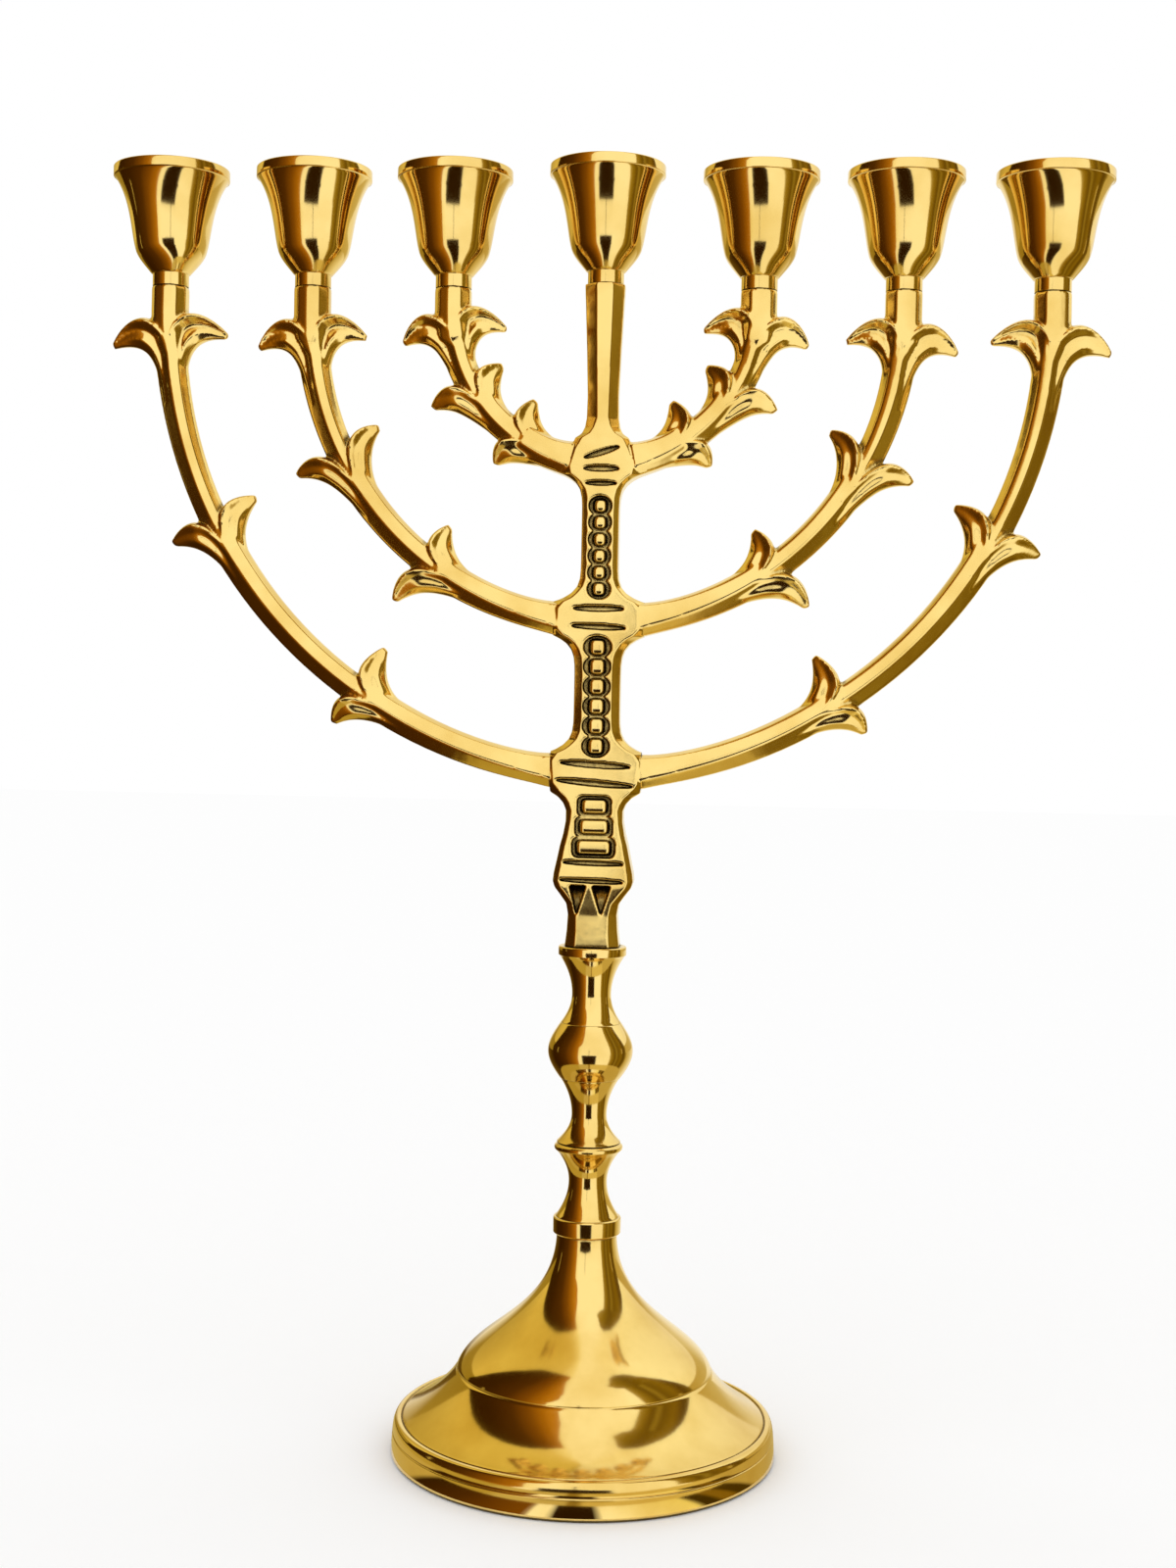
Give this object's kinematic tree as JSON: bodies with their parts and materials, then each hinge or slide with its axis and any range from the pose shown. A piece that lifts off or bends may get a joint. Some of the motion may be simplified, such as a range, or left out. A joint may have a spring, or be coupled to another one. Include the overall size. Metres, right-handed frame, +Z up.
{
  "type": "seven-branch menorah",
  "caption": "Polished brass menorah with a turned bell base and knopped column, a beaded cast stem with leafed curved branches, and round candle cups that unscrew.",
  "frame": {"origin": "centre of the base's underside, on the table", "axes": "+Z up, +X to the right along the row of branches, +Y towards the back"},
  "size_m": [0.2732, 0.1064, 0.3539],
  "materials": {
    "cast_brass": "polished",
    "turned_brass": "polished",
    "fixing_steel": "zinc plated"
  },
  "bodies": {
    "stand": {"base_bell": "turned_brass", "foot_collar": "turned_brass", "lower_spool": "turned_brass", "middle_spool": "turned_brass", "knop": "turned_brass", "upper_spool": "turned_brass", "tie_rod": "fixing_steel", "base_washer": "fixing_steel", "base_nut": "fixing_steel"},
    "head_screw": {"head_stud": "fixing_steel"},
    "head": {"head_stem": "cast_brass", "branch_left_outer": "cast_brass", "branch_left_middle": "cast_brass", "branch_left_inner": "cast_brass", "branch_right_inner": "cast_brass", "branch_right_middle": "cast_brass", "branch_right_outer": "cast_brass"},
    "screw_1": {"cup_stud_1": "fixing_steel"},
    "cup_1": {"candle_cup_1": "turned_brass"},
    "screw_2": {"cup_stud_2": "fixing_steel"},
    "cup_2": {"candle_cup_2": "turned_brass"},
    "screw_3": {"cup_stud_3": "fixing_steel"},
    "cup_3": {"candle_cup_3": "turned_brass"},
    "screw_4": {"cup_stud_4": "fixing_steel"},
    "cup_4": {"candle_cup_4": "turned_brass"},
    "screw_5": {"cup_stud_5": "fixing_steel"},
    "cup_5": {"candle_cup_5": "turned_brass"},
    "screw_6": {"cup_stud_6": "fixing_steel"},
    "cup_6": {"candle_cup_6": "turned_brass"},
    "screw_7": {"cup_stud_7": "fixing_steel"},
    "cup_7": {"candle_cup_7": "turned_brass"}
  },
  "joints": [
    {"name": "head_turn", "type": "hinge", "parent": "stand", "child": "head_screw", "pos_m": [0, 0, 0.1408], "axis": [0, 0, 1], "range_deg": [0, 2880]},
    {"name": "head_lift", "type": "slide", "parent": "head_screw", "child": "head", "axis": [0, 0, 1], "range_m": [0, 0.01001]},
    {"name": "cup_1_turn", "type": "hinge", "parent": "head", "child": "screw_1", "pos_m": [-0.1206, 0, 0.3204], "axis": [0, 0, 1], "range_deg": [0, 2880]},
    {"name": "cup_1_lift", "type": "slide", "parent": "screw_1", "child": "cup_1", "axis": [0, 0, 1], "range_m": [0, 0.00641]},
    {"name": "cup_2_turn", "type": "hinge", "parent": "head", "child": "screw_2", "pos_m": [-0.0808, 0, 0.3204], "axis": [0, 0, 1], "range_deg": [0, 2880]},
    {"name": "cup_2_lift", "type": "slide", "parent": "screw_2", "child": "cup_2", "axis": [0, 0, 1], "range_m": [0, 0.00641]},
    {"name": "cup_3_turn", "type": "hinge", "parent": "head", "child": "screw_3", "pos_m": [-0.0418, 0, 0.3204], "axis": [0, 0, 1], "range_deg": [0, 2880]},
    {"name": "cup_3_lift", "type": "slide", "parent": "screw_3", "child": "cup_3", "axis": [0, 0, 1], "range_m": [0, 0.00641]},
    {"name": "cup_4_turn", "type": "hinge", "parent": "head", "child": "screw_4", "pos_m": [0, 0, 0.3217], "axis": [0, 0, 1], "range_deg": [0, 2880]},
    {"name": "cup_4_lift", "type": "slide", "parent": "screw_4", "child": "cup_4", "axis": [0, 0, 1], "range_m": [0, 0.00641]},
    {"name": "cup_5_turn", "type": "hinge", "parent": "head", "child": "screw_5", "pos_m": [0.0418, 0, 0.3204], "axis": [0, 0, 1], "range_deg": [0, 2880]},
    {"name": "cup_5_lift", "type": "slide", "parent": "screw_5", "child": "cup_5", "axis": [0, 0, 1], "range_m": [0, 0.00641]},
    {"name": "cup_6_turn", "type": "hinge", "parent": "head", "child": "screw_6", "pos_m": [0.0808, 0, 0.3204], "axis": [0, 0, 1], "range_deg": [0, 2880]},
    {"name": "cup_6_lift", "type": "slide", "parent": "screw_6", "child": "cup_6", "axis": [0, 0, 1], "range_m": [0, 0.00641]},
    {"name": "cup_7_turn", "type": "hinge", "parent": "head", "child": "screw_7", "pos_m": [0.1206, 0, 0.3204], "axis": [0, 0, 1], "range_deg": [0, 2880]},
    {"name": "cup_7_lift", "type": "slide", "parent": "screw_7", "child": "cup_7", "axis": [0, 0, 1], "range_m": [0, 0.00641]}
  ],
  "couplings": [
    {"joint": "head_lift", "follows": "head_turn", "m_per_rad": 0.00019894},
    {"joint": "cup_1_lift", "follows": "cup_1_turn", "m_per_rad": 0.00012732},
    {"joint": "cup_2_lift", "follows": "cup_2_turn", "m_per_rad": 0.00012732},
    {"joint": "cup_3_lift", "follows": "cup_3_turn", "m_per_rad": 0.00012732},
    {"joint": "cup_4_lift", "follows": "cup_4_turn", "m_per_rad": 0.00012732},
    {"joint": "cup_5_lift", "follows": "cup_5_turn", "m_per_rad": 0.00012732},
    {"joint": "cup_6_lift", "follows": "cup_6_turn", "m_per_rad": 0.00012732},
    {"joint": "cup_7_lift", "follows": "cup_7_turn", "m_per_rad": 0.00012732}
  ]
}
